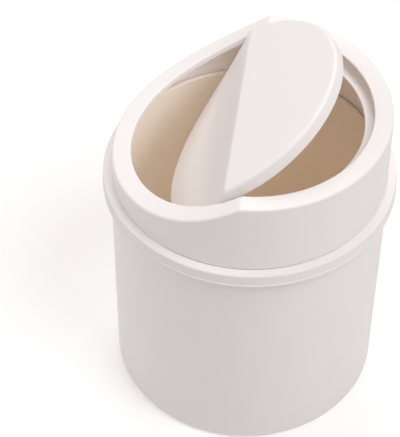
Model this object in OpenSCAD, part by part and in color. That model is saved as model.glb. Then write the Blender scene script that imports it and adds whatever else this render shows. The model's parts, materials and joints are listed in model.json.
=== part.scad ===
// Countertop trash can: a round bucket with a pail inside it, a lift-off cover whose top is flat
// behind a crease and dips in front of it, and a bent round lid that swings on two pins.
// Millimetres. +Z is up, the origin is the middle of the base, and the side that is pushed is -Y.

/* [Bucket] */
// Diameter over the band round the top of the bucket
rim_d = 155; // [140:1:180]
// Height of the band's top face above the counter
rim_z = 142; // [110:1:180]
// How far the band stands out past the body
band_overhang = 4; // [3.5:0.1:7]
// Height of the band
band_h = 7.7; // [5:0.1:14]
// Thickness of the band
band_wall = 2; // [1.6:0.1:3]
// Radius of the band's upper outer edge
band_edge_r = 0.9; // [0.5:0.1:1.6]
// Wall of the bucket
bucket_wall = 1.8; // [1.4:0.1:3]
// How much narrower the body is at its base than under the band, on the radius
bucket_taper = 1.5; // [0:0.1:2.5]
// Radius of the bucket's bottom edge
base_edge_r = 4.5; // [3.5:0.1:8]
// Thickness of the bucket's floor
bucket_floor = 2; // [1.5:0.1:4]
// Width of the ring that the bucket stands on
foot_w = 4; // [2:0.5:10]
// Height of that ring
foot_h = 1.5; // [0.5:0.1:3]

/* [Pail] */
// How far the pail's lip stands above the band's top face
pail_rise = 5.5; // [3:0.1:8]
// Wall of the pail
pail_wall = 1.5; // [1.2:0.1:2.5]
// Thickness of the pail's floor
pail_floor = 1.8; // [1.2:0.1:3]
// How much narrower the pail is at its base than at its lip, on the radius
pail_taper = 2; // [0.5:0.1:6]
// Radius of the pail's bottom edge
pail_edge_r = 5; // [3:0.5:10]
// Height of the pail's lip
pail_lip_h = 3; // [2:0.1:6]
// How far the lip stands out past the pail's wall
pail_lip_out = 0.6; // [0.3:0.1:1.5]
// Gap between the pail's lip and the inside of the cover
pail_gap = 1; // [0.3:0.1:1.5]

/* [Cover] */
// Height of the cover's flat top above the band's top face
cover_h = 43.3; // [38:0.1:60]
// Wall of the cover
cover_wall = 2.2; // [1.6:0.1:3]
// Thickness of the cover's top
cover_plate = 2.2; // [1.6:0.1:3]
// Width of the ring left round the mouth, from the outer face in
ring_w = 10.1; // [8:0.1:14]
// Thickness of the lip that hangs round the mouth
lip_w = 1.8; // [1.2:0.1:3]
// Depth of that lip in front
lip_h = 4; // [3:0.1:6]
// How far the plug reaches down into the bucket
plug_h = 6; // [4:0.5:12]
// Wall of the plug
plug_wall = 1.2; // [1:0.1:2]
// Gap between the plug and the bucket
plug_gap = 0.3; // [0.2:0.05:0.6]
// Width of the ledge that the large half of the lid rests on
ledge_w = 4.3; // [3:0.1:6]
// Thickness of the ledge
ledge_t = 2; // [1.5:0.1:3]
// Where the two ends of the ledge are, behind the middle
ledge_start_y = 14; // [10:1:30]
// Gap between the closed lid and the ledge
ledge_gap = 0.3; // [0.2:0.05:0.6]

/* [Top surface] */
// Place of the crease between the flat top and the dip, behind the middle
crease_y = 1.7; // [0:0.1:6]
// Slope of the dip at the crease, in degrees
dip_angle = 37; // [30:0.5:40]
// Radius of the hollow curve of the dip
dip_r = 165; // [150:1:220]

/* [Swing lid] */
// Gap round the lid in the mouth of the cover
lid_gap = 1.5; // [1:0.1:2.5]
// Thickness of the lid's skin
lid_skin = 2.2; // [1.6:0.1:3]
// Height of the lid's edge
lid_edge_h = 7.2; // [6:0.1:10]
// Thickness of the lid's edge
lid_edge_w = 2; // [1.4:0.1:3]
// How far the lid is tipped open from closed, in degrees
lid_open = 35; // [0:1:60]

/* [Pivots] */
// Place of the pins, behind the middle
pivot_y = -2; // [-6:0.5:0]
// Depth of the pins' axis under the flat top
pivot_drop = 14.8; // [13:0.1:18]
// Diameter of the pins
pin_d = 4; // [3:0.1:5]
// Diameter of a pin's head
pin_head_d = 7; // [6:0.1:8]
// Thickness of a pin's head
pin_head_t = 1.4; // [1:0.1:2]
// Wall round each pin, in the cover and in the lid
pivot_wall = 2.5; // [2:0.1:3]
// Length of the pin's bore in the cover
pivot_depth = 4.9; // [3.5:0.1:6]
// Clearance round the pin where it turns in the cover, on the radius
pin_run = 0.05; // [0.02:0.01:0.1]
// Clearance round the pin where it sits in the lid, on the radius
pin_seat = 0.02; // [0.01:0.01:0.05]
// Gap between the lid's lug and the cover's boss
lug_gap = 1; // [0.5:0.1:2]
// Thickness of the lid's lug
lug_t = 3.4; // [2.5:0.1:5]
// How far the lug's outer corners stay inside the lid's edge
lug_inset = 0.3; // [0.2:0.1:1]
// Thickness of the web that hangs the boss from the cover's top
boss_web = 2.4; // [1.5:0.1:4]

/* [Counterweight] */
// Length of the steel bar
bar_l = 54; // [40:1:60]
// Width of the steel bar
bar_w = 18; // [10:1:22]
// Thickness of the steel bar
bar_t = 3; // [2:0.1:3.5]
// Place of the bar in the closed lid, behind the middle
bar_y = 34; // [24:1:36]
// Gap round the bar in its cover
bar_gap = 0.2; // [0.1:0.05:0.5]
// Wall of the bar's cover
bar_cover_wall = 1.4; // [1:0.1:2]
// Diameter of the screws
screw_d = 2.2; // [1.8:0.1:3]
// Diameter of a screw's head
screw_head_d = 4.4; // [3.8:0.1:5]
// Thickness of a screw's head
screw_head_t = 1.2; // [0.8:0.1:2]
// Depth of a screw in its boss
screw_grip = 3.6; // [2.5:0.1:3.8]
// Wall round a screw
screw_wall = 1.5; // [1:0.1:2]
// Clearance round a screw, on the radius
screw_gap = 0.05; // [0.02:0.01:0.1]

/* [Hidden] */
$fn = 128;

// How far a cut runs past the face that it starts from
over = 1;
// Half the width of a block that is larger than the whole object
beyond = rim_d;

shell_colour = [0.95, 0.93, 0.91];
pail_colour = [0.95, 0.89, 0.8];
steel_colour = [0.72, 0.72, 0.73];

// Bucket
rim_r = rim_d / 2;
body_top_r = rim_r - band_overhang;
bucket_base_r = body_top_r - bucket_taper;
mouth_r = body_top_r - bucket_wall;
bucket_inner_edge_r = base_edge_r - bucket_wall;
bucket_floor_z = foot_h + bucket_floor;
foot_r = bucket_base_r - base_edge_r;

// Cover
plug_r = mouth_r - plug_gap;
plug_inner_r = plug_r - plug_wall;
cover_r = plug_inner_r + cover_wall;
top_z = rim_z + cover_h;
hole_r = cover_r - ring_w;
lip_r = hole_r + lip_w;
ledge_r = hole_r - ledge_w;
ledge_z = top_z - lid_edge_h - ledge_gap;

// Pail
pail_lip_r = plug_inner_r - pail_gap;
pail_top_r = pail_lip_r - pail_lip_out;
pail_base_r = pail_top_r - pail_taper;
pail_z = rim_z + pail_rise;
pail_floor_z = bucket_floor_z + pail_floor;

// Centre of the dip's hollow curve, which meets the flat top at the crease
dip_y = crease_y - dip_r * sin(dip_angle);
dip_z = top_z + dip_r * cos(dip_angle);

// Pivots
pivot_z = top_z - pivot_drop;
lid_r = hole_r - lid_gap;
pivot_r = pin_d / 2 + pivot_wall;
lug_reach = sqrt(pow(lid_r - lug_inset, 2) - pow(pivot_r - pivot_y, 2));
lug_inner_x = lug_reach - lug_t;
boss_x = lug_reach + lug_gap;
boss_end_x = sqrt(pow(plug_inner_r, 2) - pow(pivot_r - pivot_y, 2)) + cover_wall / 2;
pin_tip_x = boss_x + pivot_depth - lug_gap / 2;

// Counterweight, in the closed lid
lid_under_z = top_z - lid_skin;
bar_cover_l = bar_l + 2 * (bar_gap + bar_cover_wall);
bar_cover_w = bar_w + 2 * (bar_gap + bar_cover_wall);
bar_cover_h = bar_t + bar_gap + bar_cover_wall;
screw_boss_r = screw_d / 2 + screw_wall;
screw_x = bar_cover_l / 2 + screw_boss_r;
screw_seat_z = lid_under_z - bar_cover_h + bar_cover_wall;

// A round tube between two heights
module tube(inner_r, outer_r, low, high) {
    translate([0, 0, low])
        difference() {
            cylinder(r = outer_r, h = high - low);
            translate([0, 0, -over]) cylinder(r = inner_r, h = high - low + 2 * over);
        }
}

// Half the section of a tapered tub with a rounded bottom edge, for spinning about Z
module tub_half(base_r, top_r, low, high, edge_r) {
    polygon([
        [0, low], [base_r - edge_r, low], [base_r - edge_r, low + edge_r],
        [base_r, low + edge_r], [top_r, high], [0, high]
    ]);
    translate([base_r - edge_r, low + edge_r]) circle(edge_r);
}

// Everything that lies lower than the top surface, which is itself lowered by drop
module under_top(drop) {
    translate([0, 0, -drop])
        difference() {
            translate([-beyond, -beyond, 0]) cube([2 * beyond, 2 * beyond, top_z]);
            translate([-beyond - over, dip_y, dip_z])
                rotate([0, 90, 0])
                cylinder(r = dip_r, h = 2 * (beyond + over));
        }
}

// A layer of this depth under the top surface, cut to a round tube
module top_layer(inner_r, outer_r, depth) {
    difference() {
        intersection() {
            tube(inner_r, outer_r, rim_z, top_z + over);
            under_top(0);
        }
        under_top(depth);
    }
}

// A cylinder along X at the pivot, from one distance out from the middle to another
module pivot_rod(side, from_x, to_x, radius) {
    translate([side * from_x, pivot_y, pivot_z])
        rotate([0, side * 90, 0])
        cylinder(r = radius, h = to_x - from_x);
}

// Tips what rides on the lid from closed to where the lid is held open
module tipped() {
    translate([0, pivot_y, pivot_z])
        rotate([lid_open, 0, 0])
        translate([0, -pivot_y, -pivot_z])
        children();
}

// Half the section of the band, with a rounded upper edge
module band_half() {
    translate([mouth_r, rim_z - band_wall]) square([rim_r - band_edge_r - mouth_r, band_wall]);
    translate([rim_r - band_wall, rim_z - band_h]) square([band_wall, band_h - band_edge_r]);
    translate([rim_r - band_edge_r, rim_z - band_edge_r]) circle(band_edge_r);
}

module outer_bucket() {
    color(shell_colour)
        rotate_extrude()
        difference() {
            union() {
                tub_half(bucket_base_r, body_top_r, 0, rim_z, base_edge_r);
                band_half();
            }
            tub_half(bucket_base_r - bucket_wall, mouth_r, bucket_floor_z, rim_z + over, bucket_inner_edge_r);
            translate([0, -over]) square([foot_r - foot_w, foot_h + over]);
        }
}

module inner_pail() {
    color(pail_colour)
        rotate_extrude()
        difference() {
            union() {
                tub_half(pail_base_r, pail_top_r, bucket_floor_z, pail_z, pail_edge_r);
                translate([pail_top_r - pail_wall, pail_z - pail_lip_h])
                    square([pail_wall + pail_lip_out, pail_lip_h]);
            }
            tub_half(
                pail_base_r - pail_wall, pail_top_r - pail_wall, pail_floor_z, pail_z + over,
                pail_edge_r - pail_wall
            );
        }
}

// The lip of the mouth drops to the ledge behind, where the large half of the lid comes down
module ledge() {
    intersection() {
        union() {
            tube(ledge_r, lip_r, ledge_z - ledge_t, ledge_z);
            tube(hole_r, lip_r, ledge_z - ledge_t, lid_under_z);
        }
        translate([-beyond, ledge_start_y, 0]) cube([2 * beyond, beyond, top_z]);
    }
}

// A boss on the cover's wall, hung by a web from the cover's top
module pivot_boss(side) {
    pivot_rod(side, boss_x, boss_end_x, pivot_r);
    intersection() {
        translate([side > 0 ? hole_r : -boss_end_x, pivot_y - boss_web / 2, pivot_z])
            cube([boss_end_x - hole_r, boss_web, pivot_drop]);
        under_top(cover_plate / 2);
    }
}

module cover_ring() {
    color(shell_colour)
        difference() {
            union() {
                intersection() {
                    tube(plug_inner_r, cover_r, rim_z, top_z);
                    under_top(0);
                }
                tube(plug_inner_r, plug_r, rim_z - plug_h, rim_z + over);
                top_layer(hole_r, cover_r, cover_plate);
                top_layer(hole_r, lip_r, lip_h);
                ledge();
                for (side = [-1, 1]) pivot_boss(side);
            }
            for (side = [-1, 1]) pivot_rod(side, boss_x - over, boss_x + pivot_depth, pin_d / 2 + pin_run);
        }
}

// The bent round panel with its edge, closed
module lid_panel() {
    difference() {
        intersection() {
            translate([0, 0, rim_z]) cylinder(r = lid_r, h = top_z - rim_z + over);
            under_top(0);
        }
        under_top(lid_edge_h);
        intersection() {
            cylinder(r = lid_r - lid_edge_w, h = top_z);
            under_top(lid_skin);
        }
    }
}

// A lug that hangs from the lid's skin round the pin
module lid_lug(side) {
    pivot_rod(side, lug_inner_x, lug_reach, pivot_r);
    intersection() {
        translate([side > 0 ? lug_inner_x : -lug_reach, pivot_y - pivot_r, pivot_z])
            cube([lug_t, 2 * pivot_r, pivot_drop]);
        under_top(lid_skin / 2);
    }
}

// A boss under the lid's skin for a screw
module screw_boss(side) {
    translate([side * screw_x, bar_y, screw_seat_z])
        cylinder(r = screw_boss_r, h = lid_under_z - screw_seat_z + lid_skin / 2);
}

// The shank of a screw, or the hole for it
module screw_shank(side, radius, low) {
    translate([side * screw_x, bar_y, low])
        cylinder(r = radius, h = screw_seat_z + screw_grip - low);
}

module swing_lid() {
    color(shell_colour)
        tipped()
        difference() {
            union() {
                lid_panel();
                for (side = [-1, 1]) lid_lug(side);
                for (side = [-1, 1]) screw_boss(side);
            }
            for (side = [-1, 1])
                pivot_rod(side, lug_inner_x - over, lug_reach + over, pin_d / 2 + pin_seat);
            for (side = [-1, 1]) screw_shank(side, screw_d / 2 + screw_gap, screw_seat_z - over);
        }
}

// A headed pin that sits in the lid's lug and turns in the cover's boss
module pivot_pin(side) {
    color(shell_colour)
        tipped() {
            pivot_rod(side, lug_inner_x - pin_head_t, lug_inner_x, pin_head_d / 2);
            pivot_rod(side, lug_inner_x - pin_head_t, pin_tip_x, pin_d / 2);
        }
}

module counterweight() {
    color(steel_colour)
        tipped()
        translate([-bar_l / 2, bar_y - bar_w / 2, lid_under_z - bar_t])
        cube([bar_l, bar_w, bar_t]);
}

module counterweight_cover() {
    color(shell_colour)
        tipped()
        difference() {
            union() {
                translate([-bar_cover_l / 2, bar_y - bar_cover_w / 2, lid_under_z - bar_cover_h])
                    cube([bar_cover_l, bar_cover_w, bar_cover_h]);
                translate([-screw_x, bar_y - screw_boss_r, lid_under_z - bar_cover_h])
                    cube([2 * screw_x, 2 * screw_boss_r, bar_cover_wall]);
                for (side = [-1, 1])
                    translate([side * screw_x, bar_y, lid_under_z - bar_cover_h])
                        cylinder(r = screw_boss_r, h = bar_cover_wall);
            }
            translate([-bar_l / 2 - bar_gap, bar_y - bar_w / 2 - bar_gap, lid_under_z - bar_t - bar_gap])
                cube([bar_l + 2 * bar_gap, bar_w + 2 * bar_gap, bar_t + bar_gap + over]);
            for (side = [-1, 1])
                screw_shank(side, screw_d / 2 + screw_gap, lid_under_z - bar_cover_h - over);
        }
}

module counterweight_screws() {
    color(steel_colour)
        tipped()
        for (side = [-1, 1]) {
            screw_shank(side, screw_d / 2, lid_under_z - bar_cover_h - screw_head_t);
            translate([side * screw_x, bar_y, lid_under_z - bar_cover_h - screw_head_t])
                cylinder(r = screw_head_d / 2, h = screw_head_t);
        }
}

outer_bucket();
inner_pail();
cover_ring();
swing_lid();
pivot_pin(-1);  // pivot_pin_left
pivot_pin(1);  // pivot_pin_right
counterweight();
counterweight_cover();
counterweight_screws();
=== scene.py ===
# %% [markdown]
# # A countertop trash can with a swing lid
# The can is a set of thin plastic mouldings: a bucket with a band round its rim, a pail inside it,
# a cover whose round top is creased, and a lid that is bent along the same crease and swings on
# two pins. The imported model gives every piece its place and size. This lesson remodels the
# mouldings with the soft edges of real ones, and gives them their finish.

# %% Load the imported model
import json
import math

import bpy
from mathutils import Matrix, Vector


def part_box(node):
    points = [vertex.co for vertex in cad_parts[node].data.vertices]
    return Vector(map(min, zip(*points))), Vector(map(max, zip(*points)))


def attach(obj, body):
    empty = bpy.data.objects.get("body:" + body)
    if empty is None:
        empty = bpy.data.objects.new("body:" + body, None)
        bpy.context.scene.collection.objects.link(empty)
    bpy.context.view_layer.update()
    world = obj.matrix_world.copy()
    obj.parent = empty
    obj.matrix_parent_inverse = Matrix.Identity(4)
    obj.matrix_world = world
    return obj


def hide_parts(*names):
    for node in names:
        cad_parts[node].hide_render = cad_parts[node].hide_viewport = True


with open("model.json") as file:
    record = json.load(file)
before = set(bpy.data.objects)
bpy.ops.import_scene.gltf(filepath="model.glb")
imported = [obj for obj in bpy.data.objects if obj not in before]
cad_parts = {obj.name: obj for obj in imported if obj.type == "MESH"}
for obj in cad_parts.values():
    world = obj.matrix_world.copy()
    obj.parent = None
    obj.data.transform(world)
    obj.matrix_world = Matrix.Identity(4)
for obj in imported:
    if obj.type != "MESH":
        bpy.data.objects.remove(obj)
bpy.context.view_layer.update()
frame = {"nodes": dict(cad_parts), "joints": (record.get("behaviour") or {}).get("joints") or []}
bpy.context.scene.view_settings.view_transform = "Standard"
bpy.ops.object.select_all(action="DESELECT")

# %% [markdown]
# ## Camera
# The photograph looks down on the can from beside its pins, from about a metre away with a long
# lens, so the sides hardly converge. The camera is set by its bearing and height angle, its
# distance, the point that it aims at, and the focal length in pixels of a 400 by 437 picture.

# %% Camera
MM = 0.001
PHOTO_LONG_SIDE = 437
CAMERA_BEARING = math.radians(97.01)
CAMERA_HEIGHT_ANGLE = math.radians(47.19)
CAMERA_ROLL = math.radians(0.535)
CAMERA_DISTANCE = 1053.2 * MM
CAMERA_AIM_SIDE = -25.98 * MM
CAMERA_AIM_HEIGHT = 101.5 * MM
FOCAL_PIXELS = 1946.9
SENSOR = 36.0
FARTHEST = 20


def toward(bearing, height_angle):
    """The direction from the can to a camera or a lamp."""
    return Vector((
        math.sin(bearing) * math.cos(height_angle),
        -math.cos(bearing) * math.cos(height_angle),
        math.sin(height_angle),
    ))


def add_camera():
    back = toward(CAMERA_BEARING, CAMERA_HEIGHT_ANGLE)
    right = Vector((math.cos(CAMERA_BEARING), math.sin(CAMERA_BEARING), 0))
    aim = Vector((0, 0, CAMERA_AIM_HEIGHT)) + right * CAMERA_AIM_SIDE
    bpy.ops.object.camera_add(location=aim + back * CAMERA_DISTANCE)
    camera = bpy.context.object
    camera.rotation_mode = "QUATERNION"
    camera.rotation_quaternion = back.to_track_quat("Z", "Y")
    camera.rotation_mode = "XYZ"
    camera.rotation_euler.rotate_axis("Z", CAMERA_ROLL)
    camera.data.sensor_width = SENSOR
    camera.data.lens = FOCAL_PIXELS / PHOTO_LONG_SIDE * SENSOR
    camera.data.clip_end = FARTHEST
    bpy.context.scene.camera = camera
    return camera


camera = add_camera()
print("the lens is", round(camera.data.lens, 1), "mm")

# %% [markdown]
# ## Light that is thrown from wall to wall
# Light that falls into a deep cream-white pail is thrown from wall to wall many times before it
# comes out, and each time the plastic keeps a little of the blue. That is why the inside of such
# a can looks beige, and not the white that it is. A renderer stops after four such bounces
# unless it is told to go on.

# %% Bounces
LIGHT_BOUNCES = 32
cycles = bpy.context.scene.cycles
cycles.max_bounces = LIGHT_BOUNCES
cycles.diffuse_bounces = LIGHT_BOUNCES
print("light may bounce", cycles.diffuse_bounces, "times")

# %% [markdown]
# ## Sky
# The can stands in soft studio light, which begins with a slightly warm sky all round. The camera
# sees plain white instead, and so do reflections. A Light Path node tells such rays from those
# that only light the can, and a Mix Shader picks the sky that each of them meets.

# %% Sky
SKY_COLOR = (1.0, 0.865, 0.825)
SKY_STRENGTH = 0.32


def seen_rays(nodes, links):
    """One where a ray comes from the camera, a reflection or through glass."""
    path = nodes.new("ShaderNodeLightPath")
    total = path.outputs["Is Camera Ray"]
    for ray in ("Is Glossy Ray", "Is Transmission Ray"):
        add = nodes.new("ShaderNodeMath")
        add.operation = "MAXIMUM"
        links.new(total, add.inputs[0])
        links.new(path.outputs[ray], add.inputs[1])
        total = add.outputs[0]
    return total


def add_sky():
    world = bpy.data.worlds.new("studio_sky")
    bpy.context.scene.world = world
    world.use_nodes = True
    nodes, links = world.node_tree.nodes, world.node_tree.links
    nodes.clear()
    light = nodes.new("ShaderNodeBackground")
    light.inputs["Color"].default_value = (*SKY_COLOR, 1)
    light.inputs["Strength"].default_value = SKY_STRENGTH
    white = nodes.new("ShaderNodeBackground")
    white.inputs["Color"].default_value = (1, 1, 1, 1)
    mix = nodes.new("ShaderNodeMixShader")
    output = nodes.new("ShaderNodeOutputWorld")
    links.new(seen_rays(nodes, links), mix.inputs["Fac"])
    links.new(light.outputs[0], mix.inputs[1])
    links.new(white.outputs[0], mix.inputs[2])
    links.new(mix.outputs[0], output.inputs["Surface"])


add_sky()
print("the sky has a strength of", SKY_STRENGTH)

# %% [markdown]
# ## Floor
# The floor is a pale matt plane that keeps the can's shadow. Lit like that it would still look
# grey beside the white sky, so it gives off a little light of its own, which only the camera and
# reflections see and which never falls on the can.

# %% Floor
FLOOR_SIZE = 12
FLOOR_WHITE = 0.85
FLOOR_LIFT = 0.3


def add_floor():
    bpy.ops.mesh.primitive_plane_add(size=FLOOR_SIZE)
    floor = bpy.context.object
    floor.name = "floor"
    material = bpy.data.materials.new("pale_floor")
    material.use_nodes = True
    nodes, links = material.node_tree.nodes, material.node_tree.links
    nodes.clear()
    matt = nodes.new("ShaderNodeBsdfDiffuse")
    matt.inputs["Color"].default_value = (FLOOR_WHITE, FLOOR_WHITE, FLOOR_WHITE, 1)
    lift = nodes.new("ShaderNodeEmission")
    scale = nodes.new("ShaderNodeMath")
    scale.operation = "MULTIPLY"
    scale.inputs[1].default_value = FLOOR_LIFT
    both = nodes.new("ShaderNodeAddShader")
    output = nodes.new("ShaderNodeOutputMaterial")
    links.new(seen_rays(nodes, links), scale.inputs[0])
    links.new(scale.outputs[0], lift.inputs["Strength"])
    links.new(matt.outputs[0], both.inputs[0])
    links.new(lift.outputs[0], both.inputs[1])
    links.new(both.outputs[0], output.inputs["Surface"])
    floor.data.materials.append(material)


add_floor()
print("the floor is", FLOOR_SIZE, "m wide")

# %% [markdown]
# ## Lamps
# Four wide round lamps hang over the can. They are close to a metre across, so the shadows have
# no edge. The strongest one is on the side of the large lid panel, and a weak one near the camera
# fills in the walls that face it. Each is placed by its bearing and its height angle in degrees.

# %% Lamps
LAMP_DISTANCE = 1.6
LAMP_SIZE = 0.9
LAMPS = {
    "right_lamp": (150, 58, 9.6),
    "back_lamp": (277, 60, 6.1),
    "left_lamp": (0, 40, 4.9),
    "camera_lamp": (97, 50, 1.2),
}


def add_lamp(name, bearing, height_angle, watts):
    direction = toward(math.radians(bearing), math.radians(height_angle))
    bpy.ops.object.light_add(type="AREA", location=direction * LAMP_DISTANCE)
    lamp = bpy.context.object
    lamp.name = name
    lamp.data.shape = "DISK"
    lamp.data.size = LAMP_SIZE
    lamp.data.energy = watts
    lamp.rotation_euler = direction.to_track_quat("Z", "Y").to_euler()


for name, (bearing, height_angle, watts) in LAMPS.items():
    add_lamp(name, bearing, height_angle, watts)
print("the lamps give", round(sum(lamp[-1] for lamp in LAMPS.values()), 1), "W")

# %% [markdown]
# ## Moulded plastic
# Injection-moulded plastic is satin: its gloss is broken up by a very fine grain from the mould,
# and its colour drifts a little where the melt cooled. All the plastic pieces share one node
# group for that, with the grain's size and depth as inputs, and each material keeps its own
# colour.

# %% The grain that all the plastics share
GRAIN_INPUTS = {
    "Grain scale": 2200.0,
    "Drift scale": 22.0,
    "Roughness": 0.45,
    "Roughness spread": 0.06,
    "Drift": 0.02,
}
GRAIN_DETAIL = 3
DRIFT_DETAIL = 4


def add_grain_group():
    group = bpy.data.node_groups.new("moulded_grain", "ShaderNodeTree")
    face = group.interface
    for name, value in GRAIN_INPUTS.items():
        socket = face.new_socket(name=name, in_out="INPUT", socket_type="NodeSocketFloat")
        socket.default_value = value
    for name in ("Base", "Deep"):
        face.new_socket(name=name, in_out="INPUT", socket_type="NodeSocketColor")
    face.new_socket(name="Color", in_out="OUTPUT", socket_type="NodeSocketColor")
    face.new_socket(name="Roughness", in_out="OUTPUT", socket_type="NodeSocketFloat")
    face.new_socket(name="Height", in_out="OUTPUT", socket_type="NodeSocketFloat")
    nodes, links = group.nodes, group.links
    into = nodes.new("NodeGroupInput")
    out = nodes.new("NodeGroupOutput")
    place = nodes.new("ShaderNodeTexCoord")

    grain = nodes.new("ShaderNodeTexNoise")
    grain.inputs["Detail"].default_value = GRAIN_DETAIL
    drift = nodes.new("ShaderNodeTexNoise")
    drift.inputs["Detail"].default_value = DRIFT_DETAIL
    for noise, scale in ((grain, "Grain scale"), (drift, "Drift scale")):
        links.new(place.outputs["Object"], noise.inputs["Vector"])
        links.new(into.outputs[scale], noise.inputs["Scale"])

    amount = nodes.new("ShaderNodeMath")
    amount.operation = "MULTIPLY"
    links.new(drift.outputs["Fac"], amount.inputs[0])
    links.new(into.outputs["Drift"], amount.inputs[1])
    tint = nodes.new("ShaderNodeMix")
    tint.data_type = "RGBA"
    links.new(amount.outputs[0], tint.inputs["Factor"])
    links.new(into.outputs["Base"], tint.inputs["A"])
    links.new(into.outputs["Deep"], tint.inputs["B"])

    spread = nodes.new("ShaderNodeMath")
    spread.operation = "MULTIPLY_ADD"
    links.new(grain.outputs["Fac"], spread.inputs[0])
    links.new(into.outputs["Roughness spread"], spread.inputs[1])
    links.new(into.outputs["Roughness"], spread.inputs[2])

    links.new(tint.outputs["Result"], out.inputs["Color"])
    links.new(spread.outputs[0], out.inputs["Roughness"])
    links.new(grain.outputs["Fac"], out.inputs["Height"])
    return group


grain_group = add_grain_group()
print("the grain group has", len(grain_group.nodes), "nodes")

# %% [markdown]
# ## Two plastics
# Each plastic places that group in its own material. Its base colour drifts toward a slightly
# deeper one. The grain goes into the normal through a Bump node, because it is far too fine to be
# modelled.

# %% Plastics
PLASTIC_ROUGHNESS = 0.5
PLASTIC_IOR = 1.49
GRAIN_DEPTH = 0.02 * MM
GRAIN_STRENGTH = 0.25


def moulded_plastic(name, base, deep, drift):
    material = bpy.data.materials.new(name)
    material.use_nodes = True
    nodes, links = material.node_tree.nodes, material.node_tree.links
    shader = nodes["Principled BSDF"]
    grain = nodes.new("ShaderNodeGroup")
    grain.node_tree = grain_group
    grain.inputs["Base"].default_value = (*base, 1)
    grain.inputs["Deep"].default_value = (*deep, 1)
    grain.inputs["Roughness"].default_value = PLASTIC_ROUGHNESS
    grain.inputs["Drift"].default_value = drift
    bump = nodes.new("ShaderNodeBump")
    bump.inputs["Strength"].default_value = GRAIN_STRENGTH
    bump.inputs["Distance"].default_value = GRAIN_DEPTH
    links.new(grain.outputs["Color"], shader.inputs["Base Color"])
    links.new(grain.outputs["Roughness"], shader.inputs["Roughness"])
    links.new(grain.outputs["Height"], bump.inputs["Height"])
    links.new(bump.outputs["Normal"], shader.inputs["Normal"])
    shader.inputs["IOR"].default_value = PLASTIC_IOR
    return material


shell_plastic = moulded_plastic(
    "off_white_plastic", base=(0.938, 0.922, 0.919), deep=(0.913, 0.896, 0.891), drift=0.12)
cream_plastic = moulded_plastic(
    "cream_plastic", base=(0.958, 0.903, 0.819), deep=(0.936, 0.88, 0.797), drift=0.25)
print("plastics:", shell_plastic.name, "and", cream_plastic.name)

# %% [markdown]
# ## Brushed steel
# The bar and the screws that hang under the lid are plain steel. A metal has no colour under its
# surface, so only its reflection shows. What tells that it was brushed is a noise, stretched
# along the bar, that makes it rough in streaks.

# %% Steel
STEEL_COLOR = (0.6, 0.6, 0.61)
STEEL_ROUGHNESS = (0.3, 0.5)
STEEL_STREAK = (1, 30, 30)
STEEL_SCALE = 300


def brushed_steel():
    material = bpy.data.materials.new("zinc_steel")
    material.use_nodes = True
    nodes, links = material.node_tree.nodes, material.node_tree.links
    shader = nodes["Principled BSDF"]
    shader.inputs["Metallic"].default_value = 1.0
    shader.inputs["Base Color"].default_value = (*STEEL_COLOR, 1)
    place = nodes.new("ShaderNodeTexCoord")
    stretch = nodes.new("ShaderNodeMapping")
    stretch.inputs["Scale"].default_value = STEEL_STREAK
    noise = nodes.new("ShaderNodeTexNoise")
    noise.inputs["Scale"].default_value = STEEL_SCALE
    rough = nodes.new("ShaderNodeMapRange")
    rough.inputs["To Min"].default_value, rough.inputs["To Max"].default_value = STEEL_ROUGHNESS
    links.new(place.outputs["Object"], stretch.inputs["Vector"])
    links.new(stretch.outputs["Vector"], noise.inputs["Vector"])
    links.new(noise.outputs["Fac"], rough.inputs["Value"])
    links.new(rough.outputs["Result"], shader.inputs["Roughness"])
    return material


steel = brushed_steel()
print("metal:", steel.name)

# %% [markdown]
# ## Sections with rounded corners
# Every big piece of the can is round, so it is fixed by its section: the outline of its wall, cut
# through the middle. Moulded edges are never sharp, so each row of a section below is a corner
# with a radius, a height and a rounding, and a helper puts an arc in the place of each corner.

# %% Sections
ARC_STEPS = 6


def round_corners(corners):
    """The points of a section, with an arc in the place of each corner that has a rounding."""
    points = []
    for index, (radius, height, rounding) in enumerate(corners):
        here = Vector((radius, height))
        if rounding == 0:
            points.append(here)
            continue
        back = (Vector(corners[index - 1][:2]) - here).normalized()
        ahead = (Vector(corners[(index + 1) % len(corners)][:2]) - here).normalized()
        half = back.angle(ahead) / 2
        middle = here + (back + ahead).normalized() * rounding / math.sin(half)
        start = here + back * rounding / math.tan(half) - middle
        end = here + ahead * rounding / math.tan(half) - middle
        turn = math.pi - 2 * half
        for step in range(ARC_STEPS + 1):
            share = step / ARC_STEPS
            along = start * math.sin((1 - share) * turn) + end * math.sin(share * turn)
            points.append(middle + along / math.sin(turn))
    return points


print("a rounded corner is drawn in", ARC_STEPS, "steps")

# %% [markdown]
# ## Turning a section
# A turned piece is made as by hand: a circle is extruded and scaled from one point of the section
# to the next. Spin would do it too, but it would leave a seam up the piece to be closed. A section
# that starts and ends on the axis begins as a filled circle, and its last ring is merged to one
# point.

# %% Lathe
SEGMENTS = 192
MERGE = 0.01 * MM


def activate(piece):
    bpy.ops.object.select_all(action="DESELECT")
    piece.select_set(True)
    bpy.context.view_layer.objects.active = piece


def edit(piece, mode="VERT"):
    activate(piece)
    bpy.ops.object.mode_set(mode="EDIT")
    bpy.ops.mesh.select_mode(type=mode)


def leave_edit():
    bpy.ops.object.mode_set(mode="OBJECT")


def step_to(point, last):
    """Extrudes the selected ring to the next point of the section."""
    bpy.ops.mesh.extrude_edges_move(TRANSFORM_OT_translate={"value": (0, 0, point.y - last.y)})
    scale = point.x / last.x
    bpy.ops.transform.resize(value=(scale, scale, 1), center_override=(0, 0, point.y))


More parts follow.
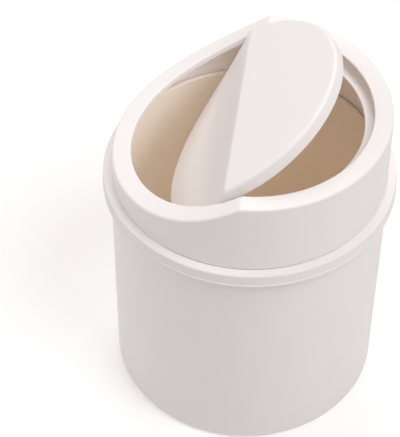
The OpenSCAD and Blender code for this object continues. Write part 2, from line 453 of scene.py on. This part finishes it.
def lathe(name, corners, segments=SEGMENTS):
    """A closed turned piece. A section that starts and ends on the axis gets a pole there."""
    outline = round_corners(corners)
    open_ends = outline[0].x == 0
    centre_z = outline[-1].y
    rings = outline[1:-1] if open_ends else outline + outline[:1]
    bpy.ops.mesh.primitive_circle_add(
        vertices=segments, radius=rings[0].x, location=(0, 0, rings[0].y),
        fill_type="TRIFAN" if open_ends else "NOTHING")
    piece = bpy.context.object
    piece.name = name
    edit(piece, "EDGE")
    bpy.ops.mesh.select_all(action="SELECT")
    if open_ends:
        bpy.ops.mesh.region_to_loop()
    for last, point in zip(rings, rings[1:]):
        step_to(point, last)
    if open_ends:
        bpy.ops.mesh.extrude_edges_move(
            TRANSFORM_OT_translate={"value": (0, 0, centre_z - rings[-1].y)})
        bpy.ops.mesh.merge(type="CENTER")
    bpy.ops.mesh.select_all(action="SELECT")
    bpy.ops.mesh.remove_doubles(threshold=MERGE)
    bpy.ops.mesh.normals_make_consistent(inside=False)
    leave_edit()
    bpy.ops.object.transform_apply(location=True, rotation=True, scale=True)
    return piece


print("a full turn has", SEGMENTS, "segments")

# %% [markdown]
# ## Joining and finishing
# A boolean joins two pieces or cuts one out of the other. Each then reaches a little past the
# face that they share, because a boolean is unsure of faces that only touch.
#
# A finished piece is shaded smooth, except where two faces meet at a real edge. The Weighted
# Normal modifier lets the large faces decide the shading, so that they stay even right up to
# their rounded edges.

# %% Finishing helpers
SHARP_ANGLE = math.radians(50)
OVERLAP = 1 * MM


def finish_surface(piece, material):
    activate(piece)
    bpy.ops.object.shade_smooth_by_angle(angle=SHARP_ANGLE)
    bpy.ops.object.modifier_add(type="WEIGHTED_NORMAL")
    piece.modifiers[-1].keep_sharp = True
    bpy.ops.object.modifier_apply(modifier=piece.modifiers[-1].name)
    piece.data.materials.clear()
    piece.data.materials.append(material)


def combine(piece, other, operation):
    """Joins another piece to this one, or cuts it out of this one."""
    activate(piece)
    bpy.ops.object.modifier_add(type="BOOLEAN")
    boolean = piece.modifiers[-1]
    boolean.object = other
    boolean.operation = operation
    boolean.solver = "EXACT"
    bpy.ops.object.modifier_apply(modifier=boolean.name)
    bpy.data.objects.remove(other)


def place_on(piece, body, slot, *nodes):
    """Says which body carries the piece and which solids it stands for, and hides those. The slot,
    what it is made of, is not used.
    """
    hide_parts(*nodes)
    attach(piece, body)
    size = piece.dimensions / MM
    print(piece.name, "has", len(piece.data.polygons), "faces,", [round(s, 1) for s in size], "mm")


# %% [markdown]
# ## Bucket
# The bucket is one thin-walled tub. Its wall leans out a little so that it leaves the mould, its
# bottom edge is rounded, and a band turned down round the rim stiffens it. The band ends in a
# fine bead that catches the light. The bucket stands on a low ring. One section holds all of
# that, so one lathe piece makes it.

# %% Bucket
bucket_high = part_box("outer_bucket")[1]
RIM_R = bucket_high.x
RIM_Z = bucket_high.z
BAND_OVERHANG = 4 * MM
BAND_H = 7.7 * MM
BAND_WALL = 2 * MM
BAND_EDGE = 0.9 * MM
BEAD_OUT = 0.35 * MM
BEAD_H = 1.1 * MM
BUCKET_WALL = 1.8 * MM
BUCKET_TAPER = 1.5 * MM
BASE_EDGE_R = 4.5 * MM
FOOT_W = 4 * MM
FOOT_H = 1.5 * MM
BUCKET_FLOOR = 2 * MM

body_top_r = RIM_R - BAND_OVERHANG
bucket_base_r = body_top_r - BUCKET_TAPER
mouth_r = body_top_r - BUCKET_WALL
foot_inner_r = bucket_base_r - BASE_EDGE_R - FOOT_W
band_z = RIM_Z - BAND_H

bucket = lathe("bucket_shell", [
    (0, FOOT_H, 0),  # the middle, from below
    (foot_inner_r, FOOT_H, 0.6 * MM),  # the foot ring's inside
    (foot_inner_r, 0, 0.5 * MM),
    (bucket_base_r, 0, BASE_EDGE_R),  # the bottom edge
    (body_top_r, RIM_Z - BAND_WALL, 0.8 * MM),  # up the wall, then under the band
    (RIM_R - BAND_WALL, RIM_Z - BAND_WALL, 0.5 * MM),
    (RIM_R - BAND_WALL, band_z, 0.5 * MM),
    (RIM_R, band_z, 0.4 * MM),  # the bead at the band's lower edge
    (RIM_R, band_z + BEAD_H, 0.3 * MM),
    (RIM_R - BEAD_OUT, band_z + BEAD_H + BEAD_OUT, 0.2 * MM),
    (RIM_R - BEAD_OUT, RIM_Z, BAND_EDGE),  # the rim
    (mouth_r, RIM_Z, 0.7 * MM),
    (bucket_base_r - BUCKET_WALL, FOOT_H + BUCKET_FLOOR, BASE_EDGE_R - BUCKET_WALL),
    (0, FOOT_H + BUCKET_FLOOR, 0),  # the middle, from above
])
finish_surface(bucket, shell_plastic)
place_on(bucket, "bucket", "shell", "outer_bucket")

# %% [markdown]
# ## Pail
# The pail lifts out to be emptied. It is cream white, and it shows through the mouth as the whole
# inside of the can. Its lip stands close to the cover, with a dark line of a gap between them,
# and inside it is a little thicker than the wall below.

# %% Pail
pail_low, pail_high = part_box("inner_pail")
PAIL_LIP_R = pail_high.x
PAIL_WALL = 1.5 * MM
PAIL_FLOOR = 1.8 * MM
PAIL_TAPER = 2 * MM
PAIL_EDGE_R = 5 * MM
PAIL_LIP_H = 3 * MM
PAIL_LIP_OUT = 0.6 * MM
PAIL_LIP_IN = 0.4 * MM
PAIL_BEAD_H = 1.6 * MM

pail_top_r = PAIL_LIP_R - PAIL_LIP_OUT
pail_base_r = pail_top_r - PAIL_TAPER

pail = lathe("pail_shell", [
    (0, pail_low.z, 0),  # the middle, from below
    (pail_base_r, pail_low.z, PAIL_EDGE_R),
    (pail_top_r, pail_high.z - PAIL_LIP_H, 0.3 * MM),  # up the wall, then round the lip
    (PAIL_LIP_R, pail_high.z - PAIL_LIP_H, 0.25 * MM),
    (PAIL_LIP_R, pail_high.z, 0.4 * MM),
    (pail_top_r - PAIL_WALL, pail_high.z, 0.6 * MM),
    (pail_top_r - PAIL_WALL, pail_high.z - PAIL_BEAD_H, 0.2 * MM),
    (pail_top_r - PAIL_WALL + PAIL_LIP_IN, pail_high.z - PAIL_BEAD_H, 0.1 * MM),
    (pail_base_r - PAIL_WALL, pail_low.z + PAIL_FLOOR, PAIL_EDGE_R - PAIL_WALL),
    (0, pail_low.z + PAIL_FLOOR, 0),  # the middle, from above
])
finish_surface(pail, cream_plastic)
place_on(pail, "pail", "pail", "inner_pail")

# %% [markdown]
# ## The creased top
# The cover's top and the lid share one surface. Behind the crease it is flat. In front of it, it
# drops away at a slope and hollows out, so that the lid can be pushed in there. Both pieces are
# turned flat first. Cuts across the piece then give it points along the crease, and every point
# in front is let down by the depth of the dip at its place. The crease itself is softened over
# about three millimetres, as a mould maker would polish it.

# %% The dip
cover_low, cover_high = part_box("cover_ring")
TOP_Z = cover_high.z
CREASE_Y = 1.7 * MM
DIP_ANGLE = math.radians(37)
DIP_R = 165 * MM
CREASE_SOFT = 1.5 * MM
CREASE_CUTS = 8
dip_y = CREASE_Y - DIP_R * math.sin(DIP_ANGLE)
dip_rise = DIP_R * math.cos(DIP_ANGLE)


def dip_depth(y):
    """How far the top lies under its flat part at this place."""
    ahead = CREASE_Y + CREASE_SOFT - y
    if ahead <= 0:
        return 0
    if ahead < 2 * CREASE_SOFT:
        return math.tan(DIP_ANGLE) * ahead ** 2 / (4 * CREASE_SOFT)
    return math.sqrt(DIP_R ** 2 - (y - dip_y) ** 2) - dip_rise


def let_down(piece, above):
    """Cuts the piece across at the crease, then sinks what lies above a height into the dip."""
    edit(piece)
    for cut in range(CREASE_CUTS + 1):
        y = CREASE_Y + CREASE_SOFT * (2 * cut / CREASE_CUTS - 1)
        bpy.ops.mesh.select_all(action="SELECT")
        bpy.ops.mesh.bisect(plane_co=(0, y, 0), plane_no=(0, 1, 0))
    leave_edit()
    for vertex in piece.data.vertices:
        if vertex.co.z > above:
            vertex.co.z -= dip_depth(vertex.co.y)


print("the top is cut across", CREASE_CUTS + 1, "times at the crease")

# %% [markdown]
# ## Cover
# The cover stands on the bucket's rim, held by a short plug. Its ring-shaped top has a lip round
# the mouth. Behind, the lip reaches down to a ledge, on which the large half of the lid comes to
# rest. Inside, a boss on each side takes one of the lid's pins.

# %% Cover: wall, top and lip
COVER_R = cover_high.x
COVER_WALL = 2.2 * MM
COVER_PLATE = 2.2 * MM
COVER_EDGE = 1.3 * MM
COVER_FOOT_EDGE = 0.9 * MM
MOUTH_EDGE = 1.0 * MM
RING_W = 10.1 * MM
LIP_W = 1.8 * MM
LIP_H = 4 * MM
LIP_CLEAR = 1 * MM
PLUG_WALL = 1.2 * MM

plug_inner_r = COVER_R - COVER_WALL
plug_r = plug_inner_r + PLUG_WALL
hole_r = COVER_R - RING_W
lip_r = hole_r + LIP_W

cover = lathe("cover_shell", [
    (plug_inner_r, cover_low.z, 0.3 * MM),  # the plug
    (plug_r, cover_low.z, 0.5 * MM),
    (plug_r, RIM_Z, 0),
    (COVER_R, RIM_Z, COVER_FOOT_EDGE),  # the wall
    (COVER_R, TOP_Z, COVER_EDGE),
    (COVER_R - RING_W / 3, TOP_Z, 0),  # two rings that let the top follow the dip
    (COVER_R - RING_W * 2 / 3, TOP_Z, 0),
    (hole_r, TOP_Z, MOUTH_EDGE),  # the mouth and its lip
    (hole_r, TOP_Z - LIP_H, 0.6 * MM),
    (lip_r, TOP_Z - LIP_H, 0.5 * MM),
    (lip_r, TOP_Z - COVER_PLATE, 0.4 * MM),
    (plug_inner_r, TOP_Z - COVER_PLATE, 0.6 * MM),  # under the top, and back down the wall
])
let_down(cover, TOP_Z - LIP_H - LIP_CLEAR)
print("the cover's front edge is", round((TOP_Z - dip_depth(-COVER_R)) / MM, 1), "mm high")

# %% [markdown]
# ## The ledge behind
# The ledge is half a ring. It could be spun through half a turn, but turning it whole and cutting
# it across leaves both ends flat. A boolean then joins it to the cover.

# %% Cover: ledge
LEDGE_W = 4.3 * MM
LEDGE_T = 2 * MM
LEDGE_START_Y = 14 * MM
LID_EDGE_H = 7.2 * MM
LEDGE_GAP = 0.3 * MM
STEP_IN = 0.1 * MM
ledge_z = TOP_Z - LID_EDGE_H - LEDGE_GAP

ledge = lathe("ledge", [
    (hole_r - LEDGE_W, ledge_z - LEDGE_T, 0.5 * MM),  # the shelf that the lid rests on
    (hole_r - LEDGE_W, ledge_z, 0.6 * MM),
    (hole_r + STEP_IN, ledge_z, 0.3 * MM),  # the wall that hangs it from the top
    (hole_r + STEP_IN, TOP_Z - COVER_PLATE / 2, 0),
    (lip_r - STEP_IN, TOP_Z - COVER_PLATE / 2, 0),
    (lip_r - STEP_IN, ledge_z - LEDGE_T, 0.5 * MM),
])
edit(ledge)
bpy.ops.mesh.select_all(action="SELECT")
bpy.ops.mesh.bisect(
    plane_co=(0, LEDGE_START_Y, 0), plane_no=(0, 1, 0), use_fill=True, clear_inner=True)
leave_edit()
combine(cover, ledge, "UNION")
print("the ledge is at", round(ledge_z / MM, 1), "mm")

# %% [markdown]
# ## Where the pins are
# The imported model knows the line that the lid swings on, and how far the lid stands open. The
# lid's lugs reach as far out as the round of the lid lets them, and the cover's bosses start just
# outside them.

# %% Pivot: places and sizes
swing = next(joint for joint in frame["joints"] if joint["name"] == "lid_swing")
PIVOT = Vector(swing["pos_m"])
LID_OPEN = math.radians(-swing["range_deg"][0])
PIN_R = 2 * MM
PIN_RUN = 0.05 * MM
PIVOT_R = 4.5 * MM
LUG_GAP = 1 * MM
LUG_INSET = 0.3 * MM
lid_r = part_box("swing_lid")[1].x
lug_reach = math.sqrt((lid_r - LUG_INSET) ** 2 - (PIVOT_R - PIVOT.y) ** 2)
boss_x = lug_reach + LUG_GAP
boss_end_x = math.sqrt(plug_inner_r ** 2 - (PIVOT_R - PIVOT.y) ** 2) + COVER_WALL / 2
print("the pins lie at", round(PIVOT.y / MM, 1), "and", round(PIVOT.z / MM, 1), "mm")

# %% [markdown]
# ## Rods, blocks and mirrored copies
# The small pieces need three more tools: a rod along the pins, a block with bevelled edges, and a
# copy for the other side. A mirrored mesh is inside out, so its normals are made consistent
# again.

# %% Rods, blocks and mirrored copies
ROD_SEGMENTS = 64
ROD_EDGE = 0.4 * MM
BORE_EDGE = 0.1 * MM
WEB_EDGE = 0.2 * MM


def rod_along_x(name, from_x, to_x, radius, edge):
    """A round bar along the pins' axis, with its edges rounded."""
    rod = lathe(name, [
        (0, from_x, 0), (radius, from_x, edge), (radius, to_x, edge), (0, to_x, 0),
    ], ROD_SEGMENTS)
    rod.rotation_euler = (0, math.pi / 2, 0)
    rod.location = (0, PIVOT.y, PIVOT.z)
    activate(rod)
    bpy.ops.object.transform_apply(location=True, rotation=True, scale=True)
    return rod


def block(name, low, high, edge, bevel_steps=2):
    """A box between two corners, with its edges bevelled."""
    low, high = Vector(low), Vector(high)
    bpy.ops.mesh.primitive_cube_add(size=1, location=(low + high) / 2)
    piece = bpy.context.object
    piece.name = name
    piece.scale = high - low
    bpy.ops.object.transform_apply(location=True, rotation=True, scale=True)
    edit(piece, "EDGE")
    bpy.ops.mesh.select_all(action="SELECT")
    bpy.ops.mesh.bevel(offset=edge, segments=bevel_steps)
    leave_edit()
    return piece


def mirror_to_left(piece):
    """The same piece on the other side of the middle."""
    activate(piece)
    bpy.ops.object.duplicate()
    copy = bpy.context.object
    copy.scale.x = -1
    bpy.ops.object.transform_apply(location=True, rotation=True, scale=True)
    edit(copy)
    bpy.ops.mesh.select_all(action="SELECT")
    bpy.ops.mesh.normals_make_consistent(inside=False)
    leave_edit()
    return copy


print("a rod has", ROD_SEGMENTS, "sides")

# %% [markdown]
# ## Bosses for the pins
# A boss is a short thick tube, blind at its outer end, that hangs from the cover's top by a web.
# One is made and bored, and its copy takes the other pin.

# %% Cover: pivot bosses
BOSS_BORE = 4.9 * MM
BOSS_WEB = 2.4 * MM

boss = rod_along_x("boss", boss_x, boss_end_x, PIVOT_R, ROD_EDGE)
bore = rod_along_x("bore", boss_x - OVERLAP, boss_x + BOSS_BORE, PIN_R + PIN_RUN, BORE_EDGE)
combine(boss, bore, "DIFFERENCE")
web_top = TOP_Z - dip_depth(PIVOT.y - BOSS_WEB / 2) - COVER_PLATE / 2
web = block(
    "web", (hole_r + LIP_W / 2, PIVOT.y - BOSS_WEB / 2, PIVOT.z + PIVOT_R - OVERLAP),
    (boss_end_x, PIVOT.y + BOSS_WEB / 2, web_top), WEB_EDGE)
combine(boss, web, "UNION")
combine(cover, mirror_to_left(boss), "UNION")
combine(cover, boss, "UNION")
finish_surface(cover, shell_plastic)
place_on(cover, "cover", "shell", "cover_ring")

# %% [markdown]
# ## Swing lid
# The lid is a round panel with a deep edge that stiffens it. It is turned flat and let down into
# the dip like the cover, so that the two line up when it is shut. Lugs on its sides hold the
# pins. It is modelled shut, and then tipped open about the pins as the photograph shows it.

# %% Lid: panel
LID_SKIN = 2.2 * MM
LID_EDGE_W = 2 * MM
LID_TOP_EDGE = 2 * MM
LID_RINGS = 14
skin_r = lid_r - LID_EDGE_W

lid = lathe("lid_panel", [
    (0, TOP_Z, 0),  # the middle, and rings that let the panel follow the dip
    *[(skin_r * ring / LID_RINGS, TOP_Z, 0) for ring in range(1, LID_RINGS)],
    (lid_r, TOP_Z, LID_TOP_EDGE),  # the deep edge
    (lid_r, TOP_Z - LID_EDGE_H, 0.8 * MM),
    (skin_r, TOP_Z - LID_EDGE_H, 0.8 * MM),
    (skin_r, TOP_Z - LID_SKIN, 1.2 * MM),  # back under the panel
    *[(skin_r * ring / LID_RINGS, TOP_Z - LID_SKIN, 0) for ring in range(LID_RINGS - 1, 0, -1)],
    (0, TOP_Z - LID_SKIN, 0),
])
let_down(lid, 0)
print("the lid's front edge is", round(dip_depth(-lid_r) / MM, 1), "mm under its flat half")

# %% [markdown]
# ## Lugs
# A lug on each side of the lid goes round a pin. It is a round slice with a web up to the panel,
# and the pin sits tight in its bore. Lugs and bosses are made on the closed lid, where all of
# them stand upright.

# %% Lid: lugs
LUG_T = 3.4 * MM
LUG_WEB_EDGE = 0.3 * MM
PIN_SEAT = 0.02 * MM

lug = rod_along_x("lug", lug_reach - LUG_T, lug_reach, PIVOT_R, ROD_EDGE)
lug_top = TOP_Z - dip_depth(PIVOT.y - PIVOT_R) - LID_SKIN / 2
lug_web = block(
    "lug_web", (lug_reach - LUG_T, PIVOT.y - PIVOT_R, PIVOT.z),
    (lug_reach, PIVOT.y + PIVOT_R, lug_top), LUG_WEB_EDGE)
combine(lug, lug_web, "UNION")
lug_bore = rod_along_x(
    "lug_bore", lug_reach - LUG_T - OVERLAP, lug_reach + OVERLAP, PIN_R + PIN_SEAT, BORE_EDGE)
combine(lug, lug_bore, "DIFFERENCE")
combine(lid, mirror_to_left(lug), "UNION")
combine(lid, lug, "UNION")
print("the lugs reach out to", round(lug_reach / MM, 1), "mm")

# %% [markdown]
# ## Bosses for the screws
# Two small bosses under the panel take the screws that hold the counterweight. The sizes of the
# steel bar say where they stand: just past its ends, outside the wall of its cover.

# %% Lid: screw bosses
BAR_L = 54 * MM
BAR_W = 18 * MM
BAR_T = 3 * MM
BAR_START_Y = 25 * MM
BAR_GAP = 0.2 * MM
TRAY_WALL = 1.4 * MM
SCREW_R = 1.1 * MM
SCREW_WALL = 1.5 * MM
SCREW_EDGE = 0.2 * MM
POST_SEGMENTS = 48
bar_low = Vector((-BAR_L / 2, BAR_START_Y, 0))
bar_high = Vector((BAR_L / 2, BAR_START_Y + BAR_W, 0))
lid_under_z = TOP_Z - LID_SKIN
tray_z = lid_under_z - BAR_T - BAR_GAP - TRAY_WALL
screw_boss_r = SCREW_R + SCREW_WALL
screw_x = bar_high.x + BAR_GAP + TRAY_WALL + screw_boss_r
bar_y = (bar_low.y + bar_high.y) / 2


def post(name, x, low, high, radius, edge):
    """A round post that stands at a screw's place."""
    piece = lathe(name, [
        (0, low, 0), (radius, low, edge), (radius, high, edge), (0, high, 0),
    ], POST_SEGMENTS)
    piece.location = (x, bar_y, 0)
    activate(piece)
    bpy.ops.object.transform_apply(location=True, rotation=True, scale=True)
    return piece


for side in (-1, 1):
    screw_boss = post(
        "screw_boss", side * screw_x, tray_z + TRAY_WALL, lid_under_z + LID_SKIN / 2,
        screw_boss_r, SCREW_EDGE)
    combine(lid, screw_boss, "UNION")
print("the closed lid has", len(lid.data.polygons), "faces")

# %% [markdown]
# ## Tipping the lid open
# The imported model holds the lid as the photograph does, tipped open about the pins. The turn is
# made in edit mode, so it goes into the mesh and the object itself stays unturned.

# %% Lid: tip it open
def tip_open(piece):
    """Turns a piece of the closed lid about the pins to where the lid is held open."""
    edit(piece)
    bpy.ops.mesh.select_all(action="SELECT")
    bpy.ops.transform.rotate(
        value=-LID_OPEN, orient_axis="X", orient_type="GLOBAL", center_override=PIVOT)
    leave_edit()


tip_open(lid)
finish_surface(lid, shell_plastic)
place_on(lid, "lid", "shell", "swing_lid")
print("the lid's top is", round(max(v.co.z for v in lid.data.vertices) / MM, 1), "mm high")

# %% [markdown]
# ## Pins
# Each pin is a short plastic axle with a flat head, pushed through the lug from the middle.

# %% Pins
PIN_HEAD_R = 3.5 * MM
PIN_HEAD_T = 1.4 * MM
pin_tip_x = boss_x + BOSS_BORE - LUG_GAP / 2
head_x = lug_reach - LUG_T

right_pin = rod_along_x("right_pin", head_x - PIN_HEAD_T / 2, pin_tip_x, PIN_R, ROD_EDGE)
pin_head = rod_along_x("pin_head", head_x - PIN_HEAD_T, head_x, PIN_HEAD_R, ROD_EDGE)
combine(right_pin, pin_head, "UNION")
left_pin = mirror_to_left(right_pin)
left_pin.name = "left_pin"
for pin, node in ((left_pin, "pivot_pin_left"), (right_pin, "pivot_pin_right")):
    tip_open(pin)
    finish_surface(pin, shell_plastic)
    place_on(pin, "lid", "shell", node)

# %% [markdown]
# ## Counterweight
# A steel bar under the large half brings the lid back. A small plastic cover holds it against
# the skin, with a screw at each end.

# %% The counterweight's cover
TRAY_EDGE = 1 * MM
TRAY_EDGE_STEPS = 4
EAR_EDGE = 0.3 * MM
tray_out = BAR_GAP + TRAY_WALL

tray = block(
    "weight_cover", (bar_low.x - tray_out, bar_low.y - tray_out, tray_z),
    (bar_high.x + tray_out, bar_high.y + tray_out, lid_under_z + OVERLAP),
    TRAY_EDGE, TRAY_EDGE_STEPS)
ears = block(
    "ears", (-screw_x, bar_y - screw_boss_r, tray_z),
    (screw_x, bar_y + screw_boss_r, tray_z + TRAY_WALL), WEB_EDGE)
combine(tray, ears, "UNION")
for side in (-1, 1):
    ear = post("ear", side * screw_x, tray_z, tray_z + TRAY_WALL, screw_boss_r, EAR_EDGE)
    combine(tray, ear, "UNION")
hollow = block(
    "hollow", (bar_low.x - BAR_GAP, bar_low.y - BAR_GAP, tray_z + TRAY_WALL),
    (bar_high.x + BAR_GAP, bar_high.y + BAR_GAP, lid_under_z + 3 * OVERLAP), WEB_EDGE)
combine(tray, hollow, "DIFFERENCE")
edit(tray)
bpy.ops.mesh.select_all(action="SELECT")
bpy.ops.mesh.bisect(
    plane_co=(0, 0, lid_under_z), plane_no=(0, 0, 1), use_fill=True, clear_outer=True)
leave_edit()
tip_open(tray)
finish_surface(tray, shell_plastic)
place_on(tray, "lid", "shell", "counterweight_cover")

# %% [markdown]
# ## Screws
# The screws are two turned heads and shanks, with a cross cut in each head. Both make one piece,
# because they are alike and never move apart.

# %% Screws
HEAD_R = 2.2 * MM
HEAD_T = 1.2 * MM
HEAD_EDGE = 0.45 * MM
GRIP = 3.6 * MM
CROSS_L = 2.2 * MM
CROSS_W = 0.5 * MM
CROSS_EDGE = 0.05 * MM


def add_screw(x):
    """One screw: its shank, its head and the two cuts of the cross."""
    screw = post(
        "weight_screws", x, tray_z - HEAD_T / 2, tray_z + TRAY_WALL + GRIP, SCREW_R, SCREW_EDGE)
    combine(screw, post("head", x, tray_z - HEAD_T, tray_z, HEAD_R, HEAD_EDGE), "UNION")
    for length, width in ((CROSS_L, CROSS_W), (CROSS_W, CROSS_L)):
        cut = block(
            "cross", (x - length / 2, bar_y - width / 2, tray_z - 2 * HEAD_T),
            (x + length / 2, bar_y + width / 2, tray_z - HEAD_T / 2), CROSS_EDGE)
        combine(screw, cut, "DIFFERENCE")
    return screw


screws, other_screw = add_screw(-screw_x), add_screw(screw_x)
activate(screws)
other_screw.select_set(True)
bpy.ops.object.join()
tip_open(screws)
finish_surface(screws, steel)
place_on(screws, "lid", "steel", "counterweight_screws")

# %% [markdown]
# ## Steel bar
# The bar is a plain cut strip, hidden between the lid and its cover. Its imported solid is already
# right, so it only gets the brushed steel.

# %% The steel bar keeps its solid
bar = frame["nodes"]["counterweight"]
bar.data.materials.clear()
bar.data.materials.append(steel)
print("the bar keeps its", len(bar.data.polygons), "faces")
